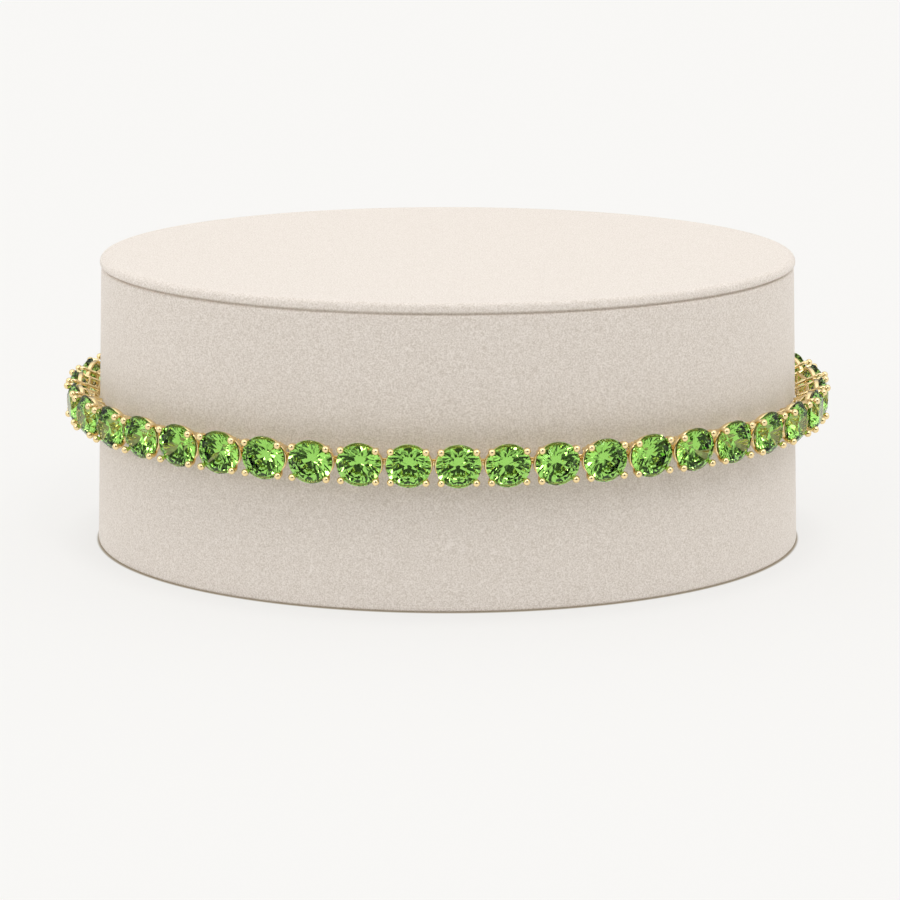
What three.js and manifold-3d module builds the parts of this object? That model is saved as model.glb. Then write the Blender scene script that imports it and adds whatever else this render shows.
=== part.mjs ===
// Tennis bracelet of round green stones in yellow gold, worn by a plain oval display drum.
// Millimetres, +Z up. The origin is the centre of the drum's foot and the front faces -Y.
import * as THREE from 'three';
import { ConvexGeometry } from 'three/addons/geometries/ConvexGeometry.js';
import { mergeVertices } from 'three/addons/utils/BufferGeometryUtils.js';
import Module from 'manifold-3d';

const wasm = await Module();
wasm.setup();

// Display drum, oval in plan and a little wider at its foot
const drumFootWidth = 64;
const drumFootDepth = 41.6;
const drumWallHeight = 25.45;
const drumTaper = 1.28;
const drumFootEdge = 0.3;
const lidThickness = 0.75;
const lidEdgeHeight = 0.6;
const lidEdgeWidth = 1.8;
const lidOverhang = 0.1;
const seamGap = 0.2;
const drumSides = 56;

// Round brilliant stone
const stoneDiameter = 3.7;
const girdleThickness = 0.1;
const crownAngle = THREE.MathUtils.degToRad(34.5);
const pavilionAngle = THREE.MathUtils.degToRad(40.8);
const cut = { table: 0.57, star: 0.78, lowerHalf: 0.26 };

// Four-prong setting round each stone
const stoneClearance = 0.03;
const prongAzimuth = THREE.MathUtils.degToRad(42);
const prongWire = 0.3;
const prongBall = 0.62;
const prongBallHeight = 0.45;
const prongLean = 0.15;
const prongSpread = 0.55;
const galleryDrop = 0.25;
const galleryHeight = 0.35;
const galleryOutset = 0.08;
const gallerySides = 12;

// Hinge between two links: a flat loop round the next link's frame bar
const hingeDrop = 1.2;
const hingeClearance = 0.06;
const loopWire = 0.17;
const loopHeight = 0.34;
const loopEndSteps = 3;

// Bracelet on the drum
const braceletHeight = 13.46;
const girdleOffWall = 2.4;
const footOffWall = 0.25;
const nominalPitch = 4.0;
const centreStoneShift = 0.86;
const shownStones = 19;
const claspPitches = 2;

// Box clasp, at the back
const claspHeight = 3.2;
const claspThickness = 2.0;
const claspEdge = 0.3;
const claspEndGap = 0.8;

const gold = { color: 0xe8b75e, roughness: 0.18, metalness: 1 };
const crystal = { color: 0x4f9c35, roughness: 0.05, metalness: 0 };
const suede = { color: 0xd3c8bb, roughness: 0.95, metalness: 0 };

// Solid of a closed geometry, geometry of a solid, and the union of several geometries
function solidOf(geometry) {
  const plain = geometry.clone();
  plain.deleteAttribute('normal');
  plain.deleteAttribute('uv');
  const merged = mergeVertices(plain, 1e-5);
  return new wasm.Manifold(new wasm.Mesh({
    numProp: 3,
    vertProperties: new Float32Array(merged.attributes.position.array),
    triVerts: new Uint32Array(merged.index.array),
  }));
}

function geometryOf(solid) {
  const mesh = solid.getMesh();
  const geometry = new THREE.BufferGeometry();
  geometry.setAttribute('position', new THREE.BufferAttribute(mesh.vertProperties, 3));
  geometry.setIndex(new THREE.BufferAttribute(mesh.triVerts, 1));
  geometry.computeVertexNormals();
  return geometry;
}

function fuse(geometries) {
  const [first, ...rest] = geometries.map(solidOf);
  return geometryOf(rest.reduce((whole, piece) => whole.add(piece), first));
}

const group = new THREE.Group();

function addPiece(name, geometry, look, frame = new THREE.Matrix4()) {
  const material = new THREE.MeshStandardMaterial({ ...look, flatShading: true });
  const mesh = new THREE.Mesh(geometry, material);
  mesh.name = name;
  frame.decompose(mesh.position, mesh.quaternion, mesh.scale);
  group.add(mesh);
}

// Drum and lid: a turned profile squeezed to the oval plan
function ovalTurned(profile) {
  const geometry = new THREE.LatheGeometry(profile.map(([r, z]) => new THREE.Vector2(r, z)), drumSides);
  geometry.rotateX(Math.PI / 2);
  geometry.scale(1, drumFootDepth / drumFootWidth, 1);
  return geometry;
}

const footHalfWidth = drumFootWidth / 2;
const seamHalfWidth = footHalfWidth - drumTaper;

function drumBodyGeometry() {
  return ovalTurned([
    [0, 0],
    [footHalfWidth - drumFootEdge, 0],
    [footHalfWidth, drumFootEdge],
    [seamHalfWidth, drumWallHeight],
    [0, drumWallHeight],
  ]);
}

function drumLidGeometry() {
  const rim = seamHalfWidth + lidOverhang;
  const low = drumWallHeight + seamGap;
  const high = low + lidThickness;
  const edge = [0, 30, 60, 90].map((angle) => {
    const turn = THREE.MathUtils.degToRad(angle);
    return [
      rim - lidEdgeWidth * (1 - Math.cos(turn)),
      high - lidEdgeHeight * (1 - Math.sin(turn)),
    ];
  });
  return ovalTurned([[0, low], [rim, low], ...edge, [0, high]]);
}

// Round brilliant: table, star, bezel and girdle facets over the pavilion, axis along z
const stoneRadius = stoneDiameter / 2;
const tableHeight = girdleThickness / 2 + Math.tan(crownAngle) * stoneRadius * (1 - cut.table);
const culetDepth = girdleThickness / 2 + Math.tan(pavilionAngle) * stoneRadius;

function brilliantGeometry() {
  const eighth = Math.PI / 4;
  const halfGirdle = girdleThickness / 2;
  const flat = Math.cos(eighth / 2);
  const points = [];
  const ring = (count, start, r, z) => {
    for (let i = 0; i < count; i += 1) {
      const angle = start + (i * 2 * Math.PI) / count;
      points.push(new THREE.Vector3(r * Math.cos(angle), r * Math.sin(angle), z));
    }
  };
  const onBezel = (r) => halfGirdle + Math.tan(crownAngle) * (stoneRadius - r);
  const onMain = (r) => -halfGirdle - Math.tan(pavilionAngle) * (stoneRadius - r);
  ring(8, 0, cut.table * stoneRadius, onBezel(cut.table * stoneRadius));
  ring(8, eighth / 2, cut.star * stoneRadius, onBezel(cut.star * stoneRadius * flat));
  ring(16, 0, stoneRadius, halfGirdle);
  ring(16, 0, stoneRadius, -halfGirdle);
  ring(8, eighth / 2, cut.lowerHalf * stoneRadius, onMain(cut.lowerHalf * stoneRadius * flat));
  points.push(new THREE.Vector3(0, 0, onMain(0)));
  return new ConvexGeometry(points);
}

// Setting, in the stone's frame: x along the bracelet, y up, z out of the drum
const halfWire = prongWire / 2;
const prongReach = stoneRadius + stoneClearance + halfWire * Math.SQRT2;
const prongAt = (reach) => [reach * Math.cos(prongAzimuth), reach * Math.sin(prongAzimuth)];
const [frameX, frameY] = prongAt(prongReach - prongSpread);
const footDepth = girdleOffWall - footOffWall;
const loopHole = halfWire * Math.SQRT2 + hingeClearance;
const loopReach = loopHole + loopWire;
const corners = [[1, 1], [-1, 1], [-1, -1], [1, -1]];

function turned(profile, sides, turn) {
  const points = profile.map(([r, z]) => new THREE.Vector2(r, z));
  const geometry = new THREE.LatheGeometry(points, sides);
  geometry.rotateX(Math.PI / 2);
  geometry.rotateZ(turn);
  return geometry;
}

function boxBetween(low, high) {
  const size = high.map((value, i) => value - low[i]);
  const geometry = new THREE.BoxGeometry(...size);
  geometry.translate(...high.map((value, i) => (value + low[i]) / 2));
  return geometry;
}

// Round gallery rail that the stone sits in, just below its girdle, flat on top and keen below
function galleryGeometry() {
  const toCorner = 1 / Math.cos(Math.PI / gallerySides);
  const pavilionAtTop = stoneRadius - (galleryDrop - girdleThickness / 2) / Math.tan(pavilionAngle);
  const inner = (pavilionAtTop + stoneClearance) * toCorner;
  const outer = (stoneRadius + galleryOutset) * toCorner;
  const top = -galleryDrop;
  const profile = [[inner, top], [inner, top - galleryHeight], [outer, top], [inner, top]];
  return turned(profile, gallerySides, Math.PI / gallerySides);
}

// Prong: a square wire, straight up to the frame, that spreads to the girdle and leans in to its bead
function prongGeometries(sx, sy) {
  const stations = [
    [frameX, frameY, -footDepth],
    [frameX, frameY, halfWire - hingeDrop],
    [...prongAt(prongReach), 0],
    [...prongAt(prongReach - prongLean), prongBallHeight],
  ];
  const points = stations.flatMap(([x, y, z]) => (
    corners.flatMap(([cx, cy]) => [sx * x + cx * halfWire, sy * y + cy * halfWire, z])
  ));
  const faces = [0, 2, 1, 0, 3, 2, 12, 13, 14, 12, 14, 15];
  for (const a of [0, 4, 8]) {
    for (let j = 0; j < 4; j += 1) {
      const k = (j + 1) % 4;
      faces.push(a + j, a + k, a + 4 + k, a + j, a + 4 + k, a + 4 + j);
    }
  }
  const wire = new THREE.BufferGeometry();
  wire.setAttribute('position', new THREE.Float32BufferAttribute(points, 3));
  wire.setIndex(faces);
  const ball = new THREE.IcosahedronGeometry(prongBall / 2);
  const [x, y] = prongAt(prongReach - prongLean);
  ball.translate(sx * x, sy * y, prongBallHeight);
  return [wire, ball];
}

// Square frame of the prong wire, whose left rail is the hinge bar
function frameGeometry() {
  const rectangle = (halfX, halfY) => [
    new THREE.Vector2(-halfX, -halfY),
    new THREE.Vector2(halfX, -halfY),
    new THREE.Vector2(halfX, halfY),
    new THREE.Vector2(-halfX, halfY),
  ];
  const outline = new THREE.Shape(rectangle(frameX + halfWire, frameY + halfWire));
  outline.holes.push(new THREE.Path(rectangle(frameX - halfWire, frameY - halfWire)));
  const geometry = new THREE.ExtrudeGeometry(outline, { depth: prongWire, bevelEnabled: false });
  geometry.translate(0, 0, -hingeDrop - halfWire);
  return geometry;
}

// Flat loop that grows out of a rail at x = rail and goes round the bar at x = barX
function loopGeometry(rail, barX) {
  const outline = new THREE.Shape(roundEnded(rail, barX, loopReach));
  outline.holes.push(new THREE.Path(roundEnded(rail + halfWire + loopWire, barX, loopHole)));
  const geometry = new THREE.ExtrudeGeometry(outline, { depth: loopHeight, bevelEnabled: false });
  geometry.translate(0, 0, -loopHeight / 2);
  geometry.rotateX(Math.PI / 2);
  geometry.translate(0, 0, -hingeDrop);
  return geometry;
}

function roundEnded(start, centre, radius) {
  const points = [new THREE.Vector2(start, -radius)];
  for (let i = 0; i <= loopEndSteps; i += 1) {
    const angle = Math.PI * (i / loopEndSteps - 0.5);
    points.push(new THREE.Vector2(centre + radius * Math.cos(angle), radius * Math.sin(angle)));
  }
  points.push(new THREE.Vector2(start, radius));
  return points;
}

// Places along the bracelet: a level curve at one distance off the drum's wall
class WallCurve extends THREE.Curve {
  constructor(offset) {
    super();
    this.arcLengthDivisions = 1440;
    this.offset = offset;
    this.halfWidth = footHalfWidth - (drumTaper * braceletHeight) / drumWallHeight;
    this.halfDepth = (this.halfWidth * drumFootDepth) / drumFootWidth;
  }

  getPoint(t, target = new THREE.Vector3()) {
    const angle = 2 * Math.PI * t;
    const along = new THREE.Vector3(this.halfDepth * Math.sin(angle), -this.halfWidth * Math.cos(angle), 0);
    along.setLength(this.offset);
    const x = this.halfWidth * Math.sin(angle) + along.x;
    const y = -this.halfDepth * Math.cos(angle) + along.y;
    return target.set(x, y, braceletHeight);
  }
}

const hingeCurve = new WallCurve(girdleOffWall - hingeDrop);
const positions = Math.round(hingeCurve.getLength() / nominalPitch);
const pitch = hingeCurve.getLength() / positions;

// The hinge bar of position 0 lies to the left of the front stone's axis
function hingePoint(position) {
  const travel = position * pitch - frameX + centreStoneShift;
  return hingeCurve.getPointAt(THREE.MathUtils.euclideanModulo(travel / hingeCurve.getLength(), 1));
}

function frameBetween(start, end, reach) {
  const along = end.clone().sub(start).normalize();
  const up = new THREE.Vector3(0, 0, 1);
  const out = along.clone().cross(up);
  const origin = start.clone().addScaledVector(along, reach).addScaledVector(out, hingeDrop);
  return new THREE.Matrix4().makeBasis(along, up, out).setPosition(origin);
}

const linkFrame = (position) => frameBetween(hingePoint(position), hingePoint(position + 1), frameX);

function settingParts() {
  return [
    galleryGeometry(),
    frameGeometry(),
    ...corners.flatMap(([sx, sy]) => prongGeometries(sx, sy)),
    loopGeometry(frameX, pitch - frameX),
  ];
}

// Slot cut in a block for the last link's loop, with the hinge bar left across it
function withHingeBar(block, barX) {
  const reach = loopReach + hingeClearance;
  const half = loopHeight / 2 + hingeClearance;
  const slot = boxBetween(
    [barX - footDepth, -half, -hingeDrop - reach],
    [barX + reach, half, -hingeDrop + reach],
  );
  const bar = boxBetween(
    [barX - halfWire, -half - halfWire, -hingeDrop - halfWire],
    [barX + halfWire, half + halfWire, -hingeDrop + halfWire],
  );
  return geometryOf(solidOf(block).subtract(solidOf(slot)).add(solidOf(bar)));
}

// Hidden link: a square block in place of the open frame, with four prong posts and the crown
function plainLinkParts(isFirst, isLast) {
  const half = stoneRadius * Math.cos(Math.PI / 8) + stoneClearance;
  const block = boxBetween([-half, -half, -footDepth], [half, half, -galleryDrop]);
  const posts = corners.map(([sx, sy]) => {
    const x = sx * (half - halfWire);
    const y = sy * (half - halfWire);
    return boxBetween(
      [x - halfWire, y - halfWire, -galleryDrop - halfWire],
      [x + halfWire, y + halfWire, prongBallHeight + prongBall / 2],
    );
  });
  const crown = [
    [0, -galleryDrop - halfWire],
    [stoneRadius, -galleryDrop - halfWire],
    [stoneRadius, girdleThickness / 2],
    [cut.table * stoneRadius, tableHeight],
    [0, tableHeight],
  ];
  const neck = boxBetween(
    [half - halfWire, -loopHeight / 2, -hingeDrop - prongWire],
    [pitch - half + halfWire, loopHeight / 2, -hingeDrop + prongWire],
  );
  const start = isFirst ? withHingeBar(block, -frameX) : block;
  const end = isLast ? loopGeometry(half - halfWire, pitch - frameX) : neck;
  return [start, ...posts, turned(crown, 8, Math.PI / 8), end];
}

// A fused run of hidden links, with a hinge bar at its first link and a loop at its last
function hiddenRunGeometry(first, last) {
  const pieces = [];
  for (let position = first; position <= last; position += 1) {
    const parts = plainLinkParts(position === first, position === last);
    for (const part of parts) pieces.push(part.applyMatrix4(linkFrame(position)));
  }
  return fuse(pieces);
}

// Box clasp: a plain chamfered block with a hinge bar at its start and a loop at its end
function claspGeometry(length) {
  const start = -frameX - halfWire;
  const endBar = length - frameX;
  const end = endBar - halfWire - claspEndGap;
  const low = -footDepth;
  const high = low + claspThickness;
  const profile = [
    [start, low],
    [end, low],
    [end, high - claspEdge],
    [end - claspEdge, high],
    [start + claspEdge, high],
    [start, high - claspEdge],
  ];
  const outline = new THREE.Shape(profile.map(([x, z]) => new THREE.Vector2(x, z)));
  const body = new THREE.ExtrudeGeometry(outline, { depth: claspHeight, bevelEnabled: false });
  body.translate(0, 0, -claspHeight / 2);
  body.rotateX(Math.PI / 2);
  return fuse([withHingeBar(body, -frameX), loopGeometry(end - prongWire, endBar)]);
}

// Shown stones and settings, then the hidden stretch on both sides of the clasp
const lastShown = (shownStones - 1) / 2;
for (let position = -lastShown; position <= lastShown; position += 1) {
  const label = String(position + lastShown + 1).padStart(2, '0');
  addPiece(`stone_${label}`, brilliantGeometry(), crystal, linkFrame(position));
  addPiece(`setting_${label}`, fuse(settingParts()), gold, linkFrame(position));
}

const hiddenLinks = positions - shownStones - claspPitches;
const rightLinks = Math.ceil(hiddenLinks / 2);
const claspStart = lastShown + 1 + rightLinks;
const claspSpan = [hingePoint(claspStart), hingePoint(claspStart + claspPitches)];
addPiece('hidden_run_right', hiddenRunGeometry(lastShown + 1, claspStart - 1), gold);
const clasp = claspGeometry(claspSpan[0].distanceTo(claspSpan[1]));
addPiece('box_clasp', clasp, gold, frameBetween(...claspSpan, frameX));
addPiece('hidden_run_left', hiddenRunGeometry(claspStart + claspPitches, positions - lastShown - 1), gold);
addPiece('drum_body', drumBodyGeometry(), suede);
addPiece('drum_lid', drumLidGeometry(), suede);

export default group;
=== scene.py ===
"""Looks of a tennis bracelet: round green stones in yellow gold, closed round an oval suede display drum.

Sizes are in millimetres and go through MM where a mesh is made. In a link's own frame x runs along
the bracelet, y is up and z points out of the drum, with the origin at the centre of the girdle.
"""

import logging
import math
from dataclasses import dataclass, field
from enum import Enum

import bmesh
import bpy
import numpy as np
from mathutils import Matrix, Vector

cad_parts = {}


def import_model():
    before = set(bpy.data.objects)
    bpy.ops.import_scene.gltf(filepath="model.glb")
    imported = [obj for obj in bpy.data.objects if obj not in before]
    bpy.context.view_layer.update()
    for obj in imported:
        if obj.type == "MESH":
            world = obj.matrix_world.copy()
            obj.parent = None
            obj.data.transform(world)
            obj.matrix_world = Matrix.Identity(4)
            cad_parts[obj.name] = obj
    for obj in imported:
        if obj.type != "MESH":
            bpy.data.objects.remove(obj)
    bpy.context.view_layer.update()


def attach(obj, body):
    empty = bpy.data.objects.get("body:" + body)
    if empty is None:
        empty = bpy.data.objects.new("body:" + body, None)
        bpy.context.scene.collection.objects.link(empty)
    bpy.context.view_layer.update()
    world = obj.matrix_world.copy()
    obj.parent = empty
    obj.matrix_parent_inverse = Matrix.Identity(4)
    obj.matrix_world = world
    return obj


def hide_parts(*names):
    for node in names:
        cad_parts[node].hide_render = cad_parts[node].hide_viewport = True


MM = 0.001
LOG = logging.getLogger("bracelet")

# Sockets of a Mix node for colours: its two colours and its result
FIRST_COLOUR, SECOND_COLOUR, MIXED_COLOUR = 6, 7, 2

# Folds sharper than this stay crisp in a rounded mesh
SHARP_FOLD = math.radians(50)

# Least cosine of half a bend at which a swept wire's corner is still mitred in full
LEAST_MITRE = 0.3

# A round brilliant repeats its facets eight times round its axis
EIGHTHS = 8
EIGHTH = 2 * math.pi / EIGHTHS

# How near a cut passes a corner before it goes through it, and how near two corners are before they join
CUT_DISTANCE = 1e-6
WELD_DISTANCE = 2e-5


class Slot(Enum):
    """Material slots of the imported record."""

    GREEN_STONE = "green_stone"
    GOLD = "gold"
    SUEDE = "suede"


class Shading(Enum):
    """How the faces of a mesh meet."""

    FACETED = "faceted"
    ROUNDED = "rounded"


# Colours and nodes


def srgb(code: str) -> tuple[float, float, float, float]:
    """Turns an sRGB hex value into a linear colour.

    Args:
        code: Six hex digits, such as "E9B85C".

    Returns:
        Linear red, green and blue with an alpha of 1.
    """
    shades = [int(code[i : i + 2], 16) / 255 for i in (0, 2, 4)]
    linear = [s / 12.92 if s <= 0.04045 else ((s + 0.055) / 1.055) ** 2.4 for s in shades]
    return (*linear, 1.0)


def add_node(
    tree: bpy.types.NodeTree, kind: str, settings: dict | None = None, inputs: dict | None = None
) -> bpy.types.Node:
    """Adds a node with its settings, socket values and links.

    Args:
        tree: The node tree it goes into.
        kind: The node's type name.
        settings: Properties of the node by name.
        inputs: Sockets by name or number, each with a value or with the output that feeds it.

    Returns:
        The new node.
    """
    node = tree.nodes.new(kind)
    for name, value in (settings or {}).items():
        setattr(node, name, value)
    for name, value in (inputs or {}).items():
        if isinstance(value, bpy.types.NodeSocket):
            tree.links.new(value, node.inputs[name])
        else:
            node.inputs[name].default_value = value
    return node


def new_material(name: str) -> tuple[bpy.types.Material, bpy.types.NodeTree]:
    """Makes an empty node material.

    Args:
        name: Name of the material.

    Returns:
        The material and its node tree.
    """
    material = bpy.data.materials.new(name)
    material.use_nodes = True
    material.node_tree.nodes.clear()
    return material, material.node_tree


# Finishes


@dataclass(frozen=True)
class PolishedYellowGold:
    """14k yellow gold, cast and then tumbled and buffed to a mirror.

    Wear leaves patches that shine a little less. The real buffing lines are too fine to show, so they are
    drawn 0.05 mm wide.
    """

    colour: str = "FDE9B8"
    worn_colour: str = "F6D99C"
    buffed: float = 0.05
    brushed: float = 0.13
    patch_size: float = 0.6
    patch_range: tuple[float, float] = (0.3, 0.7)
    scratch_size: float = 0.05
    scratch_depth: float = 0.01
    scratch_strength: float = 0.08

    def build(self) -> bpy.types.Material:
        """Makes the material: a warm mirror whose buffing lines soften the edges of its reflections.

        Returns:
            The gold.
        """
        material, tree = new_material("polished_14k_yellow_gold")
        place = add_node(tree, "ShaderNodeTexCoord").outputs["Object"]
        patches = add_node(
            tree,
            "ShaderNodeTexNoise",
            inputs={"Vector": place, "Scale": 1 / (self.patch_size * MM), "Detail": 2.0},
        ).outputs["Fac"]
        scratches = add_node(
            tree,
            "ShaderNodeTexNoise",
            inputs={"Vector": place, "Scale": 1 / (self.scratch_size * MM), "Detail": 3.0},
        ).outputs["Fac"]
        colour = add_node(
            tree,
            "ShaderNodeMix",
            {"data_type": "RGBA"},
            {"Factor": patches, FIRST_COLOUR: srgb(self.colour), SECOND_COLOUR: srgb(self.worn_colour)},
        ).outputs[MIXED_COLOUR]
        low, high = self.patch_range
        roughness = add_node(
            tree,
            "ShaderNodeMapRange",
            inputs={
                "Value": patches,
                "From Min": low,
                "From Max": high,
                "To Min": self.buffed,
                "To Max": self.brushed,
            },
        ).outputs["Result"]
        bump = add_node(
            tree,
            "ShaderNodeBump",
            inputs={
                "Height": scratches,
                "Strength": self.scratch_strength,
                "Distance": self.scratch_depth * MM,
            },
        ).outputs["Normal"]
        shader = add_node(
            tree,
            "ShaderNodeBsdfPrincipled",
            inputs={"Base Color": colour, "Metallic": 1.0, "Roughness": roughness, "Normal": bump},
        ).outputs["BSDF"]
        add_node(tree, "ShaderNodeOutputMaterial", inputs={"Surface": shader})
        return material


@dataclass(frozen=True)
class GreenCrystal:
    """Green cubic zirconia, flat-polished facets on a clear crystal that is tinted right through.

    The gloss tint keeps the bright tent's reflection off the facets from veiling the colour inside. The
    absorption is what red, green and blue lose in each millimetre.
    """

    ior: float = 2.2
    roughness: float = 0.0
    tint: str = "FFFFFF"
    gloss_tint: str = "48583F"
    absorption: tuple[float, float, float] = (0.22, 0.07, 0.41)

    def build(self) -> bpy.types.Material:
        """Makes the material: long paths through the body go deep green and short ones stay mint.

        Returns:
            The crystal.
        """
        material, tree = new_material("cut_green_zirconia")
        density = max(self.absorption)
        kept = [1 - loss / density for loss in self.absorption]
        shader = add_node(
            tree,
            "ShaderNodeBsdfPrincipled",
            inputs={
                "Base Color": srgb(self.tint),
                "Roughness": self.roughness,
                "IOR": self.ior,
                "Specular Tint": srgb(self.gloss_tint),
                "Transmission Weight": 1.0,
            },
        ).outputs["BSDF"]
        body = add_node(
            tree, "ShaderNodeVolumeAbsorption", inputs={"Color": (*kept, 1.0), "Density": density / MM}
        ).outputs["Volume"]
        add_node(tree, "ShaderNodeOutputMaterial", inputs={"Surface": shader, "Volume": body})
        return material


@dataclass(frozen=True)
class Microsuede:
    """Beige microsuede, a brushed polyester cloth glued over board.

    The real fibres of its nap are too fine to show, so they are drawn 0.13 mm wide.
    """

    colour: str = "EFE7DF"
    shade_colour: str = "D0C5B9"
    nap_size: float = 0.13
    nap_roughness: float = 0.6
    mottle_size: float = 0.45
    mottle_share: float = 0.14
    fibre_range: tuple[float, float] = (0.35, 0.65)
    pile_depth: float = 0.03
    pile_strength: float = 0.5
    roughness: float = 0.95
    gloss: float = 0.1
    sheen: float = 0.45
    sheen_roughness: float = 0.5
    sheen_colour: str = "FBF7F2"

    def build(self) -> bpy.types.Material:
        """Makes the material: a matt beige speckled by its short nap, paler where it is seen edge on.

        Returns:
            The suede.
        """
        material, tree = new_material("beige_microsuede")
        place = add_node(tree, "ShaderNodeTexCoord").outputs["Object"]
        nap = add_node(
            tree,
            "ShaderNodeTexNoise",
            inputs={
                "Vector": place,
                "Scale": 1 / (self.nap_size * MM),
                "Detail": 2.0,
                "Roughness": self.nap_roughness,
            },
        ).outputs["Fac"]
        mottle = add_node(
            tree,
            "ShaderNodeTexNoise",
            inputs={"Vector": place, "Scale": 1 / (self.mottle_size * MM), "Detail": 3.0},
        ).outputs["Fac"]
        mixed = add_node(
            tree,
            "ShaderNodeMix",
            {"data_type": "FLOAT"},
            {"Factor": self.mottle_share, "A": nap, "B": mottle},
        ).outputs["Result"]
        low, high = self.fibre_range
        fibre = add_node(
            tree, "ShaderNodeMapRange", inputs={"Value": mixed, "From Min": low, "From Max": high}
        ).outputs["Result"]
        colour = add_node(
            tree,
            "ShaderNodeMix",
            {"data_type": "RGBA"},
            {"Factor": fibre, FIRST_COLOUR: srgb(self.shade_colour), SECOND_COLOUR: srgb(self.colour)},
        ).outputs[MIXED_COLOUR]
        bump = add_node(
            tree,
            "ShaderNodeBump",
            inputs={"Height": mixed, "Strength": self.pile_strength, "Distance": self.pile_depth * MM},
        ).outputs["Normal"]
        shader = add_node(
            tree,
            "ShaderNodeBsdfPrincipled",
            inputs={
                "Base Color": colour,
                "Roughness": self.roughness,
                "Specular IOR Level": self.gloss,
                "Sheen Weight": self.sheen,
                "Sheen Roughness": self.sheen_roughness,
                "Sheen Tint": srgb(self.sheen_colour),
                "Normal": bump,
            },
        ).outputs["BSDF"]
        add_node(tree, "ShaderNodeOutputMaterial", inputs={"Surface": shader})
        return material


@dataclass(frozen=True)
class OpalAcrylic:
    """White opal acrylic, the matt top of a light table that glows from below, with a painted shadow all
    round the drum's foot.
    """

    foot_width: float
    foot_depth: float
    colour: str = "F4F3F1"
    glow: float = 0.8
    tooth_size: float = 0.4
    tooth_depth: float = 0.02
    tooth_strength: float = 0.05
    # Painted shadow: a dark contact line, painted into the glow's colour right at the drum's foot
    contact_shadow_colour: str = "8A7A60"
    contact_shadow_width: float = 0.27
    painted_shadow_width: float = 4.5
    painted_shadow_glow: float = 0.95

    def fade(
        self, tree: bpy.types.NodeTree, distance: bpy.types.NodeSocket, width: float, least: float
    ) -> bpy.types.NodeSocket:
        """Share of the glow that is left at a distance off the drum's foot, where its dip paints shade.

        Args:
            tree: The material's node tree.
            distance: The distance off the foot, in metres.
            width: Distance at which the glow is full, in millimetres.
            least: Share that is left at the foot itself.

        Returns:
            The socket that gives the share.
        """
        return add_node(
            tree,
            "ShaderNodeMapRange",
            {"interpolation_type": "SMOOTHSTEP"},
            {"Value": distance, "From Min": 0.0, "From Max": width * MM, "To Min": least, "To Max": 1.0},
        ).outputs["Result"]

    def build(self) -> bpy.types.Material:
        """Makes the material: an even white with a painted faint shadow and a painted dark contact shadow
        line round the drum's foot.

        Returns:
            The acrylic.
        """
        material, tree = new_material("white_opal_acrylic")
        place = add_node(tree, "ShaderNodeTexCoord").outputs["Object"]
        tooth = add_node(
            tree, "ShaderNodeTexNoise", inputs={"Vector": place, "Scale": 1 / (self.tooth_size * MM)}
        ).outputs["Fac"]
        bump = add_node(
            tree,
            "ShaderNodeBump",
            inputs={"Height": tooth, "Strength": self.tooth_strength, "Distance": self.tooth_depth * MM},
        ).outputs["Normal"]
        # Distance off the drum's oval foot, which places the painted shadow
        level = add_node(
            tree, "ShaderNodeVectorMath", {"operation": "MULTIPLY"}, {0: place, 1: (1.0, 1.0, 0.0)}
        ).outputs["Vector"]
        foot = (2 / (self.foot_width * MM), 2 / (self.foot_depth * MM), 0.0)
        oval = add_node(
            tree, "ShaderNodeVectorMath", {"operation": "MULTIPLY"}, {0: level, 1: foot}
        ).outputs["Vector"]
        far = add_node(tree, "ShaderNodeVectorMath", {"operation": "LENGTH"}, {0: level}).outputs["Value"]
        reach = add_node(tree, "ShaderNodeVectorMath", {"operation": "LENGTH"}, {0: oval}).outputs["Value"]
        edge = add_node(tree, "ShaderNodeMath", {"operation": "DIVIDE"}, {0: far, 1: reach}).outputs[0]
        distance = add_node(tree, "ShaderNodeMath", {"operation": "SUBTRACT"}, {0: far, 1: edge}).outputs[0]
        # Painted shadow: the dark contact line and the faint dimming of the glow close round the foot
        contact_shadow = self.fade(tree, distance, self.contact_shadow_width, 0.0)
        fade = self.fade(tree, distance, self.painted_shadow_width, self.painted_shadow_glow)
        glow = add_node(tree, "ShaderNodeMath", {"operation": "MULTIPLY"}, {0: fade, 1: self.glow}).outputs[0]
        lit = srgb(self.colour)
        # The glow's colour turns to the painted contact shadow's dark colour at the drum's foot
        glow_and_shadow_colour = add_node(
            tree,
            "ShaderNodeMix",
            {"data_type": "RGBA"},
            {"Factor": contact_shadow, FIRST_COLOUR: srgb(self.contact_shadow_colour), SECOND_COLOUR: lit},
        ).outputs[MIXED_COLOUR]
        shader = add_node(
            tree,
            "ShaderNodeBsdfPrincipled",
            inputs={
                "Base Color": (*[(1 - self.glow) * shade for shade in lit[:3]], 1.0),
                "Roughness": 1.0,
                "Specular IOR Level": 0.0,
                "Emission Color": glow_and_shadow_colour,
                "Emission Strength": glow,
                "Normal": bump,
            },
        ).outputs["BSDF"]
        add_node(tree, "ShaderNodeOutputMaterial", inputs={"Surface": shader})
        return material


# Meshes


def tube_faces(rings: int, size: int, closed: bool = False) -> list[list[int]]:
    """Faces of a tube that runs through equal rings of points.

    Args:
        rings: How many rings it has.
        size: How many points each ring has.
        closed: Whether its last ring joins the first, in place of end caps.

    Returns:
        The faces, as numbers into its points.
    """
    faces = []
    for i in range(rings if closed else rings - 1):
        a, b = i * size, ((i + 1) % rings) * size
        faces += [[a + j, a + (j + 1) % size, b + (j + 1) % size, b + j] for j in range(size)]
    if not closed:
        faces += [list(range(size))[::-1], [(rings - 1) * size + j for j in range(size)]]
    return faces


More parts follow.
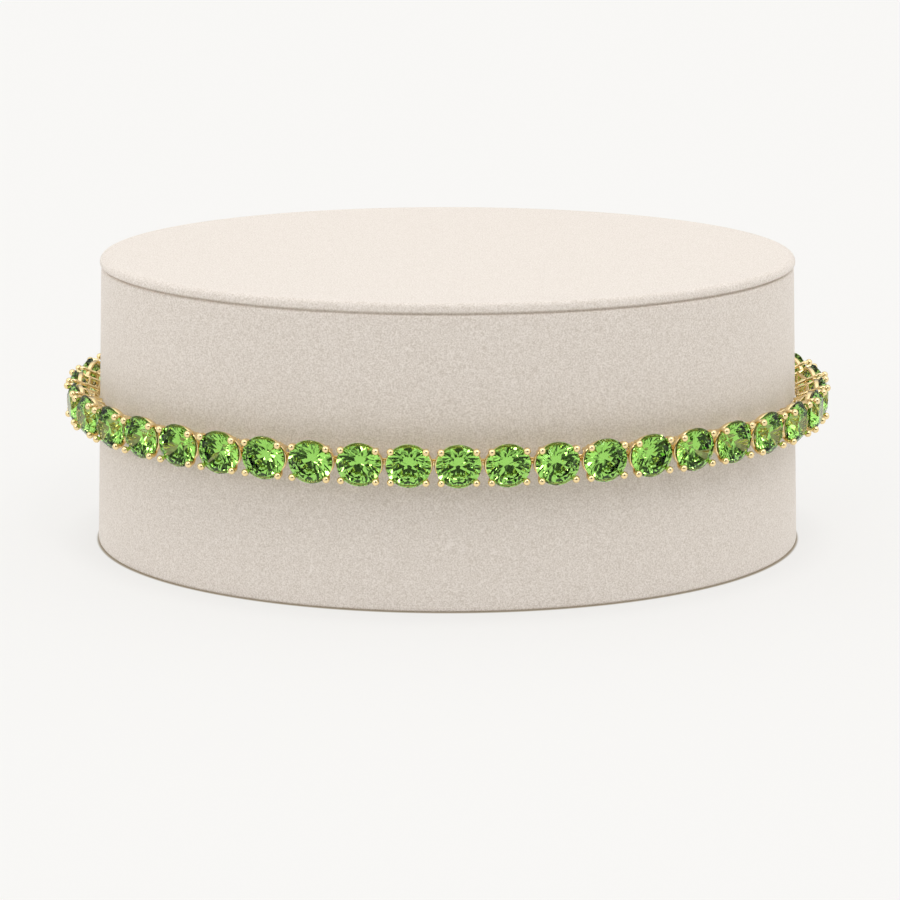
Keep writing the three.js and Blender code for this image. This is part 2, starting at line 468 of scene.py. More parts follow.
@dataclass
class Shape:
    """A growing mesh in millimetres, made of closed pieces."""

    points: list[Vector] = field(default_factory=list)
    faces: list[list[int]] = field(default_factory=list)

    def add(self, points: list[Vector], faces: list[list[int]]) -> None:
        """Adds one closed piece.

        Args:
            points: Its corners.
            faces: Its faces, as numbers into points.
        """
        start = len(self.points)
        self.points.extend(points)
        self.faces.extend([start + i for i in face] for face in faces)

    def add_shape(self, other: "Shape", place: Matrix) -> None:
        """Adds another shape's pieces, moved by a matrix in millimetres."""
        self.add([place @ point for point in other.points], other.faces)

    def sweep(
        self, path: list[Vector], section: list[tuple[float, float]], normal: Vector, closed: bool = False
    ) -> None:
        """Runs a section along a flat path, mitred at its corners.

        Args:
            path: Points of the path, all in one plane.
            section: Outline of the section, as its offset to the path's side and along the normal.
            normal: Direction square to the path's plane.
            closed: Whether the path's end joins its start.
        """
        count = len(path)
        points: list[Vector] = []
        for i, here in enumerate(path):
            steps = []
            if closed or i > 0:
                steps.append((here - path[i - 1]).normalized())
            if closed or i + 1 < count:
                steps.append((path[(i + 1) % count] - here).normalized())
            ahead = sum(steps, Vector()).normalized()
            side = ahead.cross(normal).normalized()
            stretch = 1 / max(LEAST_MITRE, steps[0].dot(ahead))
            points += [here + side * (u * stretch) + normal * v for u, v in section]
        self.add(points, tube_faces(count, len(section), closed))

    def loft(self, centres: list[Vector], sections: list[list[tuple[float, float]]]) -> None:
        """Runs through several sections that stand square to x.

        Args:
            centres: Centres of the sections.
            sections: Their outlines, in y and z, with as many points each.
        """
        pairs = zip(centres, sections)
        points = [centre + Vector((0, y, z)) for centre, section in pairs for y, z in section]
        self.add(points, tube_faces(len(centres), len(sections[0])))

    def ball(self, centre: Vector, radius: float) -> None:
        """Adds a round bead of 320 small faces.

        Args:
            centre: Its centre.
            radius: Its radius.
        """
        ball = bmesh.new()
        bmesh.ops.create_icosphere(ball, subdivisions=3, radius=radius)
        ball.verts.ensure_lookup_table()
        self.add([vert.co + centre for vert in ball.verts], [[v.index for v in f.verts] for f in ball.faces])
        ball.free()

    def mesh(self, name: str, shading: Shading, finish: bpy.types.Material) -> bpy.types.Mesh:
        """Makes the Blender mesh in metres.

        Args:
            name: Name of the mesh.
            shading: Whether its faces stay flat or run into each other.
            finish: The material of all its faces.

        Returns:
            The mesh, with its faces turned outwards.
        """
        mesh = bpy.data.meshes.new(name)
        mesh.from_pydata([point * MM for point in self.points], [], self.faces)
        work = bmesh.new()
        work.from_mesh(mesh)
        bmesh.ops.recalc_face_normals(work, faces=work.faces)
        work.to_mesh(mesh)
        work.free()
        mesh.materials.append(finish)
        if shading is Shading.ROUNDED:
            mesh.shade_smooth()
            mesh.set_sharp_from_angle(angle=SHARP_FOLD)
        else:
            mesh.shade_flat()
        return mesh


def round_section(radius: float, sides: int = 10) -> list[tuple[float, float]]:
    """Outline of a round wire."""
    turns = [2 * math.pi * i / sides for i in range(sides)]
    return [(radius * math.cos(turn), radius * math.sin(turn)) for turn in turns]


def soft_section(width: float, height: float, edge: float, steps: int = 2) -> list[tuple[float, float]]:
    """Outline of a flat bar with rounded edges.

    Args:
        width: Size to the path's side.
        height: Size along the path's normal.
        edge: Radius of its edges.
        steps: Faces round each edge.

    Returns:
        Points of the outline, round its centre.
    """
    outline = []
    for corner, (sx, sy) in enumerate([(1, 1), (-1, 1), (-1, -1), (1, -1)]):
        for i in range(steps + 1):
            turn = math.pi / 2 * (corner + i / steps)
            x = sx * (width / 2 - edge) + edge * math.cos(turn)
            y = sy * (height / 2 - edge) + edge * math.sin(turn)
            outline.append((x, y))
    return outline


def in_metres(place: Matrix) -> Matrix:
    """Turns a place's origin from millimetres to metres.

    Args:
        place: The place, in millimetres.

    Returns:
        The same place in metres.
    """
    moved = place.copy()
    moved.translation = place.translation * MM
    return moved


def place_piece(
    name: str, mesh: bpy.types.Mesh, place: Matrix, nodes: list[str]
) -> bpy.types.Object:
    """Puts a mesh in the scene, riding on the one body in place of CAD nodes.

    Args:
        name: Name of the piece.
        mesh: Its mesh.
        place: Where it stands, in metres.
        nodes: The CAD nodes that it stands for.

    Returns:
        The new object.
    """
    piece = bpy.data.objects.new(name, mesh)
    bpy.context.scene.collection.objects.link(piece)
    piece.matrix_world = place
    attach(piece, "root")
    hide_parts(*nodes)
    LOG.info("%s: %d faces, in place of %s", name, len(mesh.polygons), ", ".join(nodes))
    return piece


# Stones


def plane_through(a: Vector, b: Vector, c: Vector) -> tuple[Vector, Vector]:
    """The plane through three corners.

    Args:
        a: First corner.
        b: Second corner.
        c: Third corner.

    Returns:
        A point on the plane and its direction away from the origin.
    """
    out = (b - a).cross(c - a).normalized()
    return a, out if out.dot(a) > 0 else -out


@dataclass(frozen=True)
class RoundBrilliant:
    """A round brilliant of 57 facets, cut plane by plane from a turned blank."""

    diameter: float = 3.7
    girdle: float = 0.1
    crown_angle: float = math.radians(34.5)
    pavilion_angle: float = math.radians(40.8)
    table: float = 0.57
    star: float = 0.78
    lower_half: float = 0.26
    blank_sides: int = 64
    blank_spare: float = 0.4

    @property
    def radius(self) -> float:
        """Half of the diameter."""
        return self.diameter / 2

    @property
    def table_height(self) -> float:
        """Height of the table over the girdle's middle."""
        return self.girdle / 2 + math.tan(self.crown_angle) * self.radius * (1 - self.table)

    @property
    def culet_depth(self) -> float:
        """Depth of the culet under the girdle's middle."""
        return self.girdle / 2 + math.tan(self.pavilion_angle) * self.radius

    def corner(self, turn: float, reach: float, slope: float, side: int, flat: float = 1.0) -> Vector:
        """A corner where facets meet.

        Args:
            turn: Its azimuth, in eighths of a circle.
            reach: Its distance off the axis, as a share of the radius.
            slope: Angle of the main facet that it lies on.
            side: 1 on the crown and -1 on the pavilion.
            flat: Cosine of its azimuth off that facet's middle.

        Returns:
            The corner, in millimetres.
        """
        azimuth = turn * EIGHTH
        height = self.girdle / 2 + math.tan(slope) * self.radius * (1 - reach * flat)
        r = self.radius * reach
        return Vector((r * math.cos(azimuth), r * math.sin(azimuth), side * height))

    def facets(self) -> list[tuple[Vector, Vector]]:
        """Planes of the facets.

        Returns:
            Each plane as a point on it and its outward direction.
        """
        flat = math.cos(EIGHTH / 2)
        crown, pavilion = (self.crown_angle, 1), (self.pavilion_angle, -1)
        planes = [(Vector((0, 0, self.table_height)), Vector((0, 0, 1)))]
        for i in range(EIGHTHS):
            azimuth = i * EIGHTH
            for slope, side in (crown, pavilion):
                lean = math.sin(slope)
                out = Vector((math.cos(azimuth) * lean, math.sin(azimuth) * lean, side * math.cos(slope)))
                planes.append((self.corner(i, 1.0, slope, side), out))
            stars = [self.corner(i + s / 2, self.star, *crown, flat) for s in (-1, 1)]
            lows = [self.corner(i + s / 2, self.lower_half, *pavilion, flat) for s in (-1, 1)]
            table = [self.corner(i + s, self.table, *crown) for s in (0, 1)]
            planes.append(plane_through(*table, stars[1]))
            for s, star, low in zip((-1, 1), stars, lows):
                for edge, main in ((star, crown), (low, pavilion)):
                    rim = [self.corner(i, 1.0, *main), self.corner(i + s / 2, 1.0, *main)]
                    planes.append(plane_through(edge, *rim))
        return planes

    def shape(self) -> Shape:
        """Cuts the blank with every facet's plane.

        Returns:
            The closed stone, its axis along z.
        """
        stone = bmesh.new()
        length = self.table_height + self.culet_depth + self.blank_spare
        bmesh.ops.create_cone(
            stone,
            cap_ends=True,
            segments=self.blank_sides,
            radius1=self.radius,
            radius2=self.radius,
            depth=length,
            matrix=Matrix.Translation((0, 0, (self.table_height - self.culet_depth) / 2)),
        )
        for point, out in self.facets():
            cut = bmesh.ops.bisect_plane(
                stone,
                geom=[*stone.verts, *stone.edges, *stone.faces],
                dist=CUT_DISTANCE,
                plane_co=point,
                plane_no=out,
                clear_outer=True,
            )
            rim = [e for e in cut["geom_cut"] if isinstance(e, bmesh.types.BMEdge) and e.is_boundary]
            if rim:
                bmesh.ops.contextual_create(stone, geom=rim)
        bmesh.ops.remove_doubles(stone, verts=stone.verts, dist=WELD_DISTANCE)
        stone.verts.ensure_lookup_table()
        stone.verts.index_update()
        shape = Shape()
        shape.add([v.co.copy() for v in stone.verts], [[v.index for v in f.verts] for f in stone.faces])
        stone.free()
        return shape


# Setting


@dataclass(frozen=True)
class ProngSetting:
    """Open basket of round wire that holds one stone with four beads and hooks on to the next link."""

    stone: RoundBrilliant
    pitch: float
    hinge_drop: float
    azimuth: float = math.radians(42)
    clearance: float = 0.03
    wire: float = 0.34
    spread: float = 0.55
    waist: float = 0.2
    girdle_play: float = 0.01
    lean: float = 0.02
    lean_height: float = 0.2
    bead: float = 0.63
    bead_height: float = 0.43
    bead_reach: float = 1.944
    bead_sink: float = 0.06
    foot_depth: float = 2.15
    gallery_drop: float = 0.25
    gallery_height: float = 0.44
    gallery_width: float = 0.3
    gallery_outset: float = 0.12
    gallery_squeeze: float = 0.32
    gallery_edge: float = 0.1
    gallery_steps: int = 48
    foot_wire: float = 0.22
    foot_squeeze: float = 0.5
    loop_hole: float = 0.272
    loop_wire: float = 0.17
    loop_height: float = 0.34
    loop_edge: float = 0.05
    loop_steps: int = 12

    @property
    def frame_reach(self) -> float:
        """Distance of the frame's corners off the axis."""
        return self.stone.radius + self.clearance + self.wire / 2 * math.sqrt(2) - self.spread

    @property
    def frame_x(self) -> float:
        """Half of the frame's length."""
        return self.frame_reach * math.cos(self.azimuth)

    @property
    def frame_y(self) -> float:
        """Half of the frame's height."""
        return self.frame_reach * math.sin(self.azimuth) - self.waist

    def prong(self, shape: Shape, sx: int, sy: int) -> None:
        """Adds one prong: a wire that spreads from the frame to the girdle and leans in under its bead.

        Args:
            shape: The shape that it goes into.
            sx: 1 for a right prong and -1 for a left one.
            sy: 1 for an upper prong and -1 for a lower one.
        """
        low = Vector((sx * self.frame_x, sy * self.frame_y, 0))
        reach = Vector((sx * math.cos(self.azimuth), sy * math.sin(self.azimuth), 0))
        high = reach * (self.stone.radius + self.wire / 2 + self.girdle_play)
        normal = (high - low).cross(Vector((0, 0, 1))).normalized()
        frame = -self.hinge_drop + self.wire / 2
        # Each point of the bend is its share of the way from the frame to the girdle and its height
        bend = [(0, frame - 0.12), (0.08, frame + 0.08), (0.5, -0.5), (0.92, -0.16), (1, 0.03)]
        path = [Vector((low.x, low.y * self.foot_squeeze, -self.foot_depth))]
        path += [low.lerp(high, share) + Vector((0, 0, z)) for share, z in bend]
        path.append(high - reach * self.lean + Vector((0, 0, self.lean_height)))
        path.append(reach * self.bead_reach + Vector((0, 0, self.bead_height - self.bead_sink)))
        shape.sweep(path, round_section(self.wire / 2), normal)
        shape.ball(reach * self.bead_reach + Vector((0, 0, self.bead_height)), self.bead / 2)

    def rails(self, shape: Shape) -> None:
        """Adds the oval gallery rail, the square frame whose left rail is the hinge bar, and the foot rail.

        Args:
            shape: The shape that they go into.
        """
        up = Vector((0, 0, 1))
        along = self.stone.radius + self.gallery_outset - self.gallery_width / 2
        across = along - self.gallery_squeeze
        height = -self.gallery_drop - self.gallery_height / 2
        turns = [2 * math.pi * i / self.gallery_steps for i in range(self.gallery_steps)]
        ring = [Vector((along * math.cos(t), across * math.sin(t), height)) for t in turns]
        rail = soft_section(self.gallery_width, self.gallery_height, self.gallery_edge)
        shape.sweep(ring, rail, up, closed=True)
        for height, wire, half in (
            (-self.hinge_drop, self.wire, self.frame_y),
            (self.foot_wire / 2 - self.foot_depth, self.foot_wire, self.frame_y * self.foot_squeeze),
        ):
            corners = [(1, 1), (-1, 1), (-1, -1), (1, -1)]
            square = [Vector((x * self.frame_x, y * half, height)) for x, y in corners]
            shape.sweep(square, round_section(wire / 2), up, closed=True)

    def loop(self, shape: Shape, start: float, bar: float) -> None:
        """Adds a hinge loop, which goes round the next link's bar.

        Args:
            shape: The shape that it goes into.
            start: Where both its ends are soldered on, along x.
            bar: Where the next link's bar is, along x.
        """
        radius = self.loop_hole + self.loop_wire / 2
        turns = [math.pi * (i / self.loop_steps - 0.5) for i in range(self.loop_steps + 1)]
        path = [Vector((start, 0, -radius))]
        path += [Vector((bar + radius * math.cos(t), 0, radius * math.sin(t))) for t in turns]
        path += [Vector((start, 0, radius))]
        drop = Vector((0, 0, -self.hinge_drop))
        section = soft_section(self.loop_wire, self.loop_height, self.loop_edge)
        shape.sweep([point + drop for point in path], section, Vector((0, 1, 0)))

    def shape(self) -> Shape:
        """Solders the whole setting together.

        Returns:
            The setting, in its link's frame.
        """
        shape = Shape()
        for sx in (1, -1):
            for sy in (1, -1):
                self.prong(shape, sx, sy)
        self.rails(shape)
        self.loop(shape, self.frame_x, self.pitch - self.frame_x)
        return shape


# Drum


@dataclass(frozen=True)
class DisplayDrum:
    """Oval display drum, a little wider at its foot, with a thin padded lid over a seam."""

    foot_width: float = 64.0
    foot_depth: float = 41.6
    wall_height: float = 25.45
    taper: float = 1.28
    foot_edge: float = 0.3
    top_edge: float = 0.3
    edge_steps: int = 4
    wall_start: float = 1.5
    wall_end: float = 0.8
    wall_rings: int = 16
    neck_inset: float = 0.36
    seam: float = 0.2
    lid_overhang: float = 0.1
    lid_thickness: float = 0.75
    lid_edge_width: float = 1.0
    lid_edge_height: float = 0.67
    lid_edge_fullness: float = 0.75
    lid_edge_steps: int = 12
    lid_fold: float = 0.08
    lid_fold_cut: float = 0.3
    lid_rings: tuple[float, ...] = (0.85, 0.7, 0.5, 0.3, 0.15)
    underside_ring: float = 0.5
    sides: int = 256

    @property
    def seam_half_width(self) -> float:
        """Half of the wall's width at its top."""
        return self.foot_width / 2 - self.taper

    def turned(self, profile: list[tuple[float, float]]) -> Shape:
        """Turns a profile and squeezes it to the oval plan.

        Args:
            profile: Half-widths and heights from the centre of the underside to the centre of the top.

        Returns:
            The closed oval shape.
        """
        squeeze = self.foot_depth / self.foot_width
        points = [Vector((0, 0, profile[0][1]))]
        for r, z in profile[1:-1]:
            for i in range(self.sides):
                turn = 2 * math.pi * i / self.sides
                points.append(Vector((r * math.cos(turn), r * math.sin(turn) * squeeze, z)))
        points.append(Vector((0, 0, profile[-1][1])))
        rings, last = len(profile) - 2, len(points) - 1
        faces = [[0, 1 + (i + 1) % self.sides, 1 + i] for i in range(self.sides)]
        for ring in range(rings - 1):
            low, high = 1 + ring * self.sides, 1 + (ring + 1) * self.sides
            for i in range(self.sides):
                j = (i + 1) % self.sides
                faces.append([low + i, low + j, high + j, high + i])
        top = 1 + (rings - 1) * self.sides
        faces += [[top + i, top + (i + 1) % self.sides, last] for i in range(self.sides)]
        shape = Shape()
        shape.add(points, faces)
        return shape

    def body(self) -> Shape:
        """The wall with a folded edge at its foot and top, and the narrower neck inside the seam.

        Returns:
            The closed drum under its lid.
        """
        half, edge, top = self.foot_width / 2, self.foot_edge, self.top_edge
        turns = [math.pi / 2 * i / self.edge_steps for i in range(self.edge_steps + 1)]
        profile = [(0, 0), (half * self.underside_ring, 0)]
        profile += [(half - edge + edge * math.sin(t), edge - edge * math.cos(t)) for t in turns]
        heights = np.linspace(self.wall_start, self.wall_height - self.wall_end, self.wall_rings)
        profile += [(half - self.taper * z / self.wall_height, z) for z in heights]
        rim, fold = self.seam_half_width, self.wall_height - top
        profile += [(rim - top + top * math.cos(t), fold + top * math.sin(t)) for t in turns]
        neck, seam_top = rim - self.neck_inset, self.wall_height + self.seam
        profile += [(neck, self.wall_height), (neck, seam_top), (0, seam_top)]
        return self.turned(profile)

    def lid(self) -> Shape:
        """The padded top with its rounded edge.

        Returns:
            The closed lid.
        """
        rim = self.seam_half_width + self.lid_overhang
        low = self.wall_height + self.seam
        high = low + self.lid_thickness
        fold, cut = self.lid_fold, self.lid_fold * self.lid_fold_cut
        profile = [(0, low), (rim * self.underside_ring, low)]
        profile += [(rim - fold, low), (rim - cut, low + cut), (rim, low + fold)]
        for i in range(self.lid_edge_steps + 1):
            turn = math.pi / 2 * i / self.lid_edge_steps
            inward = self.lid_edge_width * (1 - abs(math.cos(turn)) ** self.lid_edge_fullness)
            down = self.lid_edge_height * (1 - math.sin(turn) ** self.lid_edge_fullness)
            profile.append((rim - inward, high - down))
        profile += [(rim * share, high) for share in self.lid_rings]
        profile.append((0, high))
        return self.turned(profile)

    def build(self, suede: bpy.types.Material) -> None:
        """Makes both pieces of the drum.

        Args:
            suede: The material of both.
        """
        pieces = (("suede_wall", self.body(), "drum_body"), ("suede_lid", self.lid(), "drum_lid"))
        for name, shape, node in pieces:
            place_piece(name, shape.mesh(name, Shading.ROUNDED, suede), Matrix(), [node])


# Bracelet


@dataclass(frozen=True)
class WallCurve:
    """The level oval that the hinges follow, at one distance off the drum's wall."""

    drum: DisplayDrum
    height: float
    offset: float
    steps: int = 14400

    def points(self) -> np.ndarray:
        """Points of the curve, from the middle of the front round to the right.

        Returns:
            Their x and y, one point more than its steps.
        """
        half_width = self.drum.foot_width / 2 - self.drum.taper * self.height / self.drum.wall_height
        half_depth = half_width * self.drum.foot_depth / self.drum.foot_width
        angle = np.linspace(0, 2 * math.pi, self.steps + 1)
        out = np.stack([half_depth * np.sin(angle), -half_width * np.cos(angle)], axis=1)
        out *= self.offset / np.linalg.norm(out, axis=1, keepdims=True)
        return np.stack([half_width * np.sin(angle), -half_depth * np.cos(angle)], axis=1) + out

    def measured(self) -> tuple[np.ndarray, np.ndarray]:
        """Measures the curve.

        Returns:
            Its points and the distance travelled at each of them.
        """
        points = self.points()
        steps = np.linalg.norm(np.diff(points, axis=0), axis=1)
        return points, np.concatenate([[0.0], np.cumsum(steps)])


@dataclass(frozen=True)
class BoxClasp:
    """Hidden box clasp: a plain polished block between two links."""

    height: float = 3.2
    thickness: float = 2.0
    end_gap: float = 0.8
    soften: float = 0.12
    soften_steps: int = 3
    bevel: float = 0.04
    slot_half: float = 0.23
    slot_play: float = 0.06
    overlap: float = 0.05
    rod_half: float = 0.5
    loop_root: float = 0.2

    def shape(self, setting: ProngSetting, length: float) -> Shape:
        """Builds the block with its bar slot and its hinge loop.

        Args:
            setting: The setting whose hinge it shares.
            length: Distance between its two hinge bars.

        Returns:
            The clasp, in the frame of its first position.
        """
        half_wire, side = setting.wire / 2, self.height / 2
        bar = -setting.frame_x
        start, end = bar - half_wire, length - setting.frame_x - half_wire - self.end_gap
        reach = setting.loop_hole + setting.loop_wire + self.slot_play
        solid_start = bar + reach
        slot_end = solid_start + self.overlap
        shape = Shape()
        for x0, x1, y0, y1 in (
            (solid_start, end, -side, side),
            (start, slot_end, self.slot_half, side),
            (start, slot_end, -side, -self.slot_half),
        ):
            middle = Vector((0, (y0 + y1) / 2, self.thickness / 2 - setting.foot_depth))
            centres = [middle + Vector((x, 0, 0)) for x in (x0, x0 + self.bevel, x1 - self.bevel, x1)]
            narrow, full = (
                soft_section(y1 - y0 - cut, self.thickness - cut, self.soften, self.soften_steps)
                for cut in (2 * self.bevel, 0.0)
            )
            shape.loft(centres, [narrow, full, full, narrow])
        rod = [Vector((bar, y, -setting.hinge_drop)) for y in (-self.rod_half, self.rod_half)]
        shape.sweep(rod, round_section(half_wire), Vector((1, 0, 0)))
        setting.loop(shape, end - self.loop_root, length - setting.frame_x)
        return shape


@dataclass
class TennisBracelet:
    """The closed bracelet: shown links at the front, hidden links and the clasp behind the drum."""

    drum: DisplayDrum
    gold: bpy.types.Material
    crystal: bpy.types.Material
    stone: RoundBrilliant = field(default_factory=RoundBrilliant)
    clasp: BoxClasp = field(default_factory=BoxClasp)
    height: float = 13.46
    girdle_off_wall: float = 2.4
    hinge_drop: float = 1.2
    nominal_pitch: float = 4.0
    centre_shift: float = 0.86
    shown: int = 19
    clasp_pitches: int = 2
    curve_points: np.ndarray = field(init=False)
    travelled: np.ndarray = field(init=False)
    positions: int = field(init=False)
    pitch: float = field(init=False)
    setting: ProngSetting = field(init=False)

    def __post_init__(self) -> None:
        """Measures the hinge curve and shares it out in equal pitches."""
        curve = WallCurve(self.drum, self.height, self.girdle_off_wall - self.hinge_drop)
        self.curve_points, self.travelled = curve.measured()
        self.positions = round(self.travelled[-1] / self.nominal_pitch)
        self.pitch = float(self.travelled[-1] / self.positions)
        self.setting = ProngSetting(self.stone, self.pitch, self.hinge_drop)

    @property
    def last_shown(self) -> int:
        """Position of the last shown link on the right."""
        return (self.shown - 1) // 2

    def hinge_point(self, position: int) -> Vector:
        """The hinge bar of a position.

        Args:
            position: The position, counted from the middle of the front to the right.

        Returns:
            The middle of the bar, in millimetres.
        """
        travel = position * self.pitch - self.setting.frame_x + self.centre_shift
        travel %= self.travelled[-1]
        x, y = (float(np.interp(travel, self.travelled, self.curve_points[:, i])) for i in (0, 1))
        return Vector((x, y, self.height))

    def frame(self, position: int, pitches: int = 1) -> Matrix:
        """The frame of a link or of the clasp.

        Args:
            position: Its first hinge bar's position.
            pitches: How many pitches it spans.

        Returns:
            The matrix from its own frame, in millimetres.
        """
        start, end = self.hinge_point(position), self.hinge_point(position + pitches)
        along = (end - start).normalized()
        up = Vector((0, 0, 1))
        out = along.cross(up)
        origin = start + along * self.setting.frame_x + out * self.hinge_drop
        return Matrix.Translation(origin) @ Matrix((along, up, out)).transposed().to_4x4()

    def build_shown(self) -> None:
        """Sets the shown stones, each in its own setting."""
        stone = self.stone.shape().mesh("round_brilliant", Shading.FACETED, self.crystal)
        setting = self.setting.shape().mesh("prong_setting", Shading.ROUNDED, self.gold)
        for position in range(-self.last_shown, self.last_shown + 1):
            label = f"{position + self.last_shown + 1:02d}"
            place = in_metres(self.frame(position))
            place_piece(f"crystal_{label}", stone, place, [f"stone_{label}"])
            place_piece(f"basket_{label}", setting, place, [f"setting_{label}"])

    def build_run(self, side: str, first: int, last: int) -> None:
        """Builds one hidden stretch as two pieces, its stones and its settings.

        Args:
            side: Which side of the clasp it lies on.
            first: Its first position.
            last: Its last position.
        """
        stones, settings = Shape(), Shape()
        stone, setting = self.stone.shape(), self.setting.shape()
        for position in range(first, last + 1):
            stones.add_shape(stone, self.frame(position))
            settings.add_shape(setting, self.frame(position))
        node = f"hidden_run_{side}"
        for name, shape, shading, finish, slot in (
            (f"crystals_{side}", stones, Shading.FACETED, self.crystal, Slot.GREEN_STONE),
            (f"baskets_{side}", settings, Shading.ROUNDED, self.gold, Slot.GOLD),
        ):
            place_piece(name, shape.mesh(name, shading, finish), Matrix(), [node])

    def build_clasp(self, start: int, end: int) -> None:
        """Builds the clasp between the two hidden stretches.

        Args:
            start: Position of its first hinge bar.
            end: Position of the hinge bar that its loop goes round.
        """
        length = (self.hinge_point(end) - self.hinge_point(start)).length
        mesh = self.clasp.shape(self.setting, length).mesh("polished_clasp", Shading.ROUNDED, self.gold)
        place = in_metres(self.frame(start, self.clasp_pitches))
        place_piece("polished_clasp", mesh, place, ["box_clasp"])

    def build(self) -> None:
        """Builds the whole loop, from the front round both sides to the clasp."""
        self.build_shown()
        hidden = self.positions - self.shown - self.clasp_pitches
        clasp_start = self.last_shown + 1 + math.ceil(hidden / 2)
        clasp_end = clasp_start + self.clasp_pitches
        self.build_run("right", self.last_shown + 1, clasp_start - 1)
        self.build_clasp(clasp_start, clasp_end)
        self.build_run("left", clasp_end, self.positions - self.last_shown - 1)
        LOG.info("bracelet: %d positions of %.3f mm", self.positions, self.pitch)


# Studio


@dataclass(frozen=True)
class LightTent:
    """Studio tent: bright ceiling and side panels, a dark opening towards the viewer and two small lamps."""

    ceiling: float = 1.44
    sides: float = 0.05
    fade: float = 1.0
    opening: float = 0.06
    opening_elevation: float = math.radians(17)
    opening_inner: float = math.radians(20)
    opening_outer: float = math.radians(34)
    panels: float = 0.6
    panel_range: tuple[float, float] = (0.35, 0.95)
    lamps: tuple[tuple[float, float, float], ...] = ((0.3, -0.45, 0.84), (-0.45, -0.74, 0.5))
    lamp: float = 8.5
    lamp_inner: float = math.radians(5.2)
    lamp_outer: float = math.radians(7.0)
    backdrop: str = "F7F6F4"

    def spot(
        self,
        tree: bpy.types.NodeTree,
        way: bpy.types.NodeSocket,
        centre: Vector,
        inner: float,
        outer: float,
    ) -> bpy.types.NodeSocket:
        """A round spot on the tent, 1 inside and 0 outside.

        Args:
            tree: The world's node tree.
            way: The direction looked in.
            centre: The spot's direction.
            inner: Angle within which it is full.
            outer: Angle at which it ends.

        Returns:
            The socket that gives the spot's strength.
        """
        turn = add_node(
            tree, "ShaderNodeVectorMath", {"operation": "DOT_PRODUCT"}, {0: way, 1: centre.normalized()}
        ).outputs["Value"]
        return add_node(
            tree,
            "ShaderNodeMapRange",
            {"interpolation_type": "SMOOTHSTEP"},
            {"Value": turn, "From Min": math.cos(outer), "From Max": math.cos(inner)},
        ).outputs["Result"]

    def build(self) -> None:
        """Makes the tent as the scene's world."""
        world = bpy.data.worlds.new("light_tent")
        world.use_nodes = True
        tree = world.node_tree
        tree.nodes.clear()
        way = add_node(tree, "ShaderNodeTexCoord").outputs["Generated"]
        parts = add_node(tree, "ShaderNodeSeparateXYZ", inputs={"Vector": way}).outputs
        risen = add_node(tree, "ShaderNodeMath", {"operation": "MAXIMUM"}, {0: parts["Z"], 1: 0.0}).outputs[0]
        curve = add_node(tree, "ShaderNodeMath", {"operation": "POWER"}, {0: risen, 1: self.fade}).outputs[0]
        light = add_node(
            tree, "ShaderNodeMapRange", inputs={"Value": curve, "To Min": self.sides, "To Max": self.ceiling}
        ).outputs["Result"]
        aside = add_node(tree, "ShaderNodeMath", {"operation": "ABSOLUTE"}, {0: parts["X"]}).outputs[0]
        start, full = self.panel_range
        panel = add_node(
            tree,
            "ShaderNodeMapRange",
            {"interpolation_type": "SMOOTHSTEP"},
            {"Value": aside, "From Min": start, "From Max": full, "To Max": self.panels},
        ).outputs["Result"]
        light = add_node(tree, "ShaderNodeMath", {"operation": "ADD"}, {0: light, 1: panel}).outputs[0]
        viewer = Vector((0, -math.cos(self.opening_elevation), math.sin(self.opening_elevation)))
        opening = self.spot(tree, way, viewer, self.opening_inner, self.opening_outer)
        light = add_node(
            tree, "ShaderNodeMix", {"data_type": "FLOAT"}, {"Factor": opening, "A": light, "B": self.opening}
        ).outputs["Result"]
        for direction in self.lamps:
            lit = self.spot(tree, way, Vector(direction), self.lamp_inner, self.lamp_outer)
            light = add_node(
                tree, "ShaderNodeMath", {"operation": "MULTIPLY_ADD"}, {0: lit, 1: self.lamp, 2: light}
            ).outputs[0]
        tent = add_node(
            tree, "ShaderNodeBackground", inputs={"Color": srgb("FFFFFF"), "Strength": light}
        ).outputs["Background"]
        plain = add_node(
            tree, "ShaderNodeBackground", inputs={"Color": srgb(self.backdrop), "Strength": 1.0}
        ).outputs["Background"]
        seen = add_node(tree, "ShaderNodeLightPath").outputs["Is Camera Ray"]
        mixed = add_node(tree, "ShaderNodeMixShader", inputs={0: seen, 1: tent, 2: plain}).outputs["Shader"]
        add_node(tree, "ShaderNodeOutputWorld", inputs={"Surface": mixed})
        bpy.context.scene.world = world


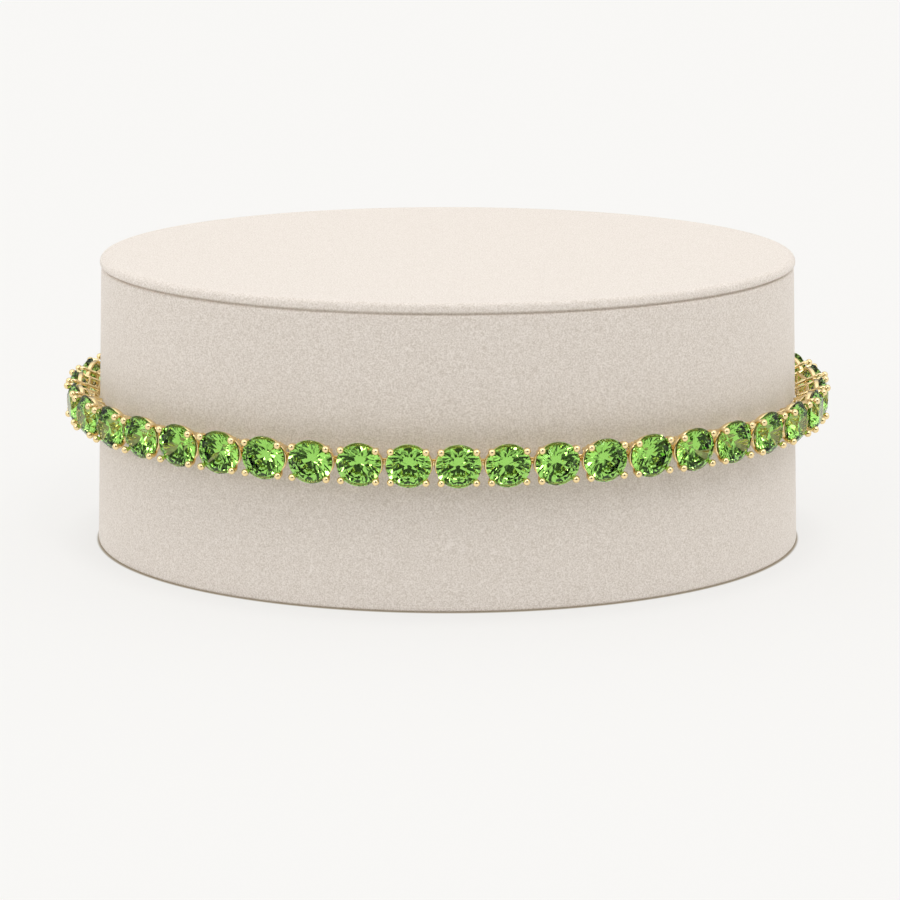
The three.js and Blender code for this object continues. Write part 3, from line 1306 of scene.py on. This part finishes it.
@dataclass(frozen=True)
class Studio:
    """The light table, the light tent and the camera at the photograph's angle."""

    drum: DisplayDrum
    tent: LightTent = field(default_factory=LightTent)
    floor_size: float = 6000.0
    floor_drop: float = 0.01
    camera_distance: float = 209.74
    camera_height: float = 72.67
    camera_pitch: float = math.radians(17.173)
    camera_range: tuple[float, float] = (10.0, 20000.0)
    lens: float = 96.28
    sensor: float = 36.0
    shift_pixels: float = 2.44
    image_width: int = 900

    def build_floor(self) -> None:
        """Lays the light table under the drum."""
        half = self.floor_size / 2
        square = ((-1, -1), (1, -1), (1, 1), (-1, 1))
        shape = Shape()
        shape.add([Vector((x * half, y * half, -self.floor_drop)) for x, y in square], [[0, 1, 2, 3]])
        acrylic = OpalAcrylic(self.drum.foot_width, self.drum.foot_depth).build()
        floor = bpy.data.objects.new("light_table", shape.mesh("light_table", Shading.FACETED, acrylic))
        bpy.context.scene.collection.objects.link(floor)

    def build_camera(self) -> None:
        """Sets up the camera in front of the drum."""
        data = bpy.data.cameras.new("view_of_the_photograph")
        data.sensor_width = self.sensor
        data.lens = self.lens
        data.shift_x = self.shift_pixels / self.image_width
        data.clip_start, data.clip_end = (reach * MM for reach in self.camera_range)
        camera = bpy.data.objects.new("view_of_the_photograph", data)
        camera.location = (0, -self.camera_distance * MM, self.camera_height * MM)
        camera.rotation_euler = (math.pi / 2 - self.camera_pitch, 0, 0)
        bpy.context.scene.collection.objects.link(camera)
        bpy.context.scene.camera = camera

    def build(self) -> None:
        """Sets up the floor, the light and the camera."""
        view = bpy.context.scene.view_settings
        view.view_transform = "Standard"
        view.look = "None"
        self.build_floor()
        self.tent.build()
        self.build_camera()
        LOG.info("studio: floor, light tent and camera")


def write_sizes() -> None:
    """Brings the view layer up to date.
    """
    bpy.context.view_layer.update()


def main() -> None:
    """Builds the drum, the bracelet and the studio in order."""
    logging.basicConfig(level=logging.INFO, format="%(name)s: %(message)s")
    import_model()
    drum = DisplayDrum()
    drum.build(Microsuede().build())
    TennisBracelet(drum, PolishedYellowGold().build(), GreenCrystal().build()).build()
    Studio(drum).build()
    write_sizes()


if __name__ == "__main__":
    main()
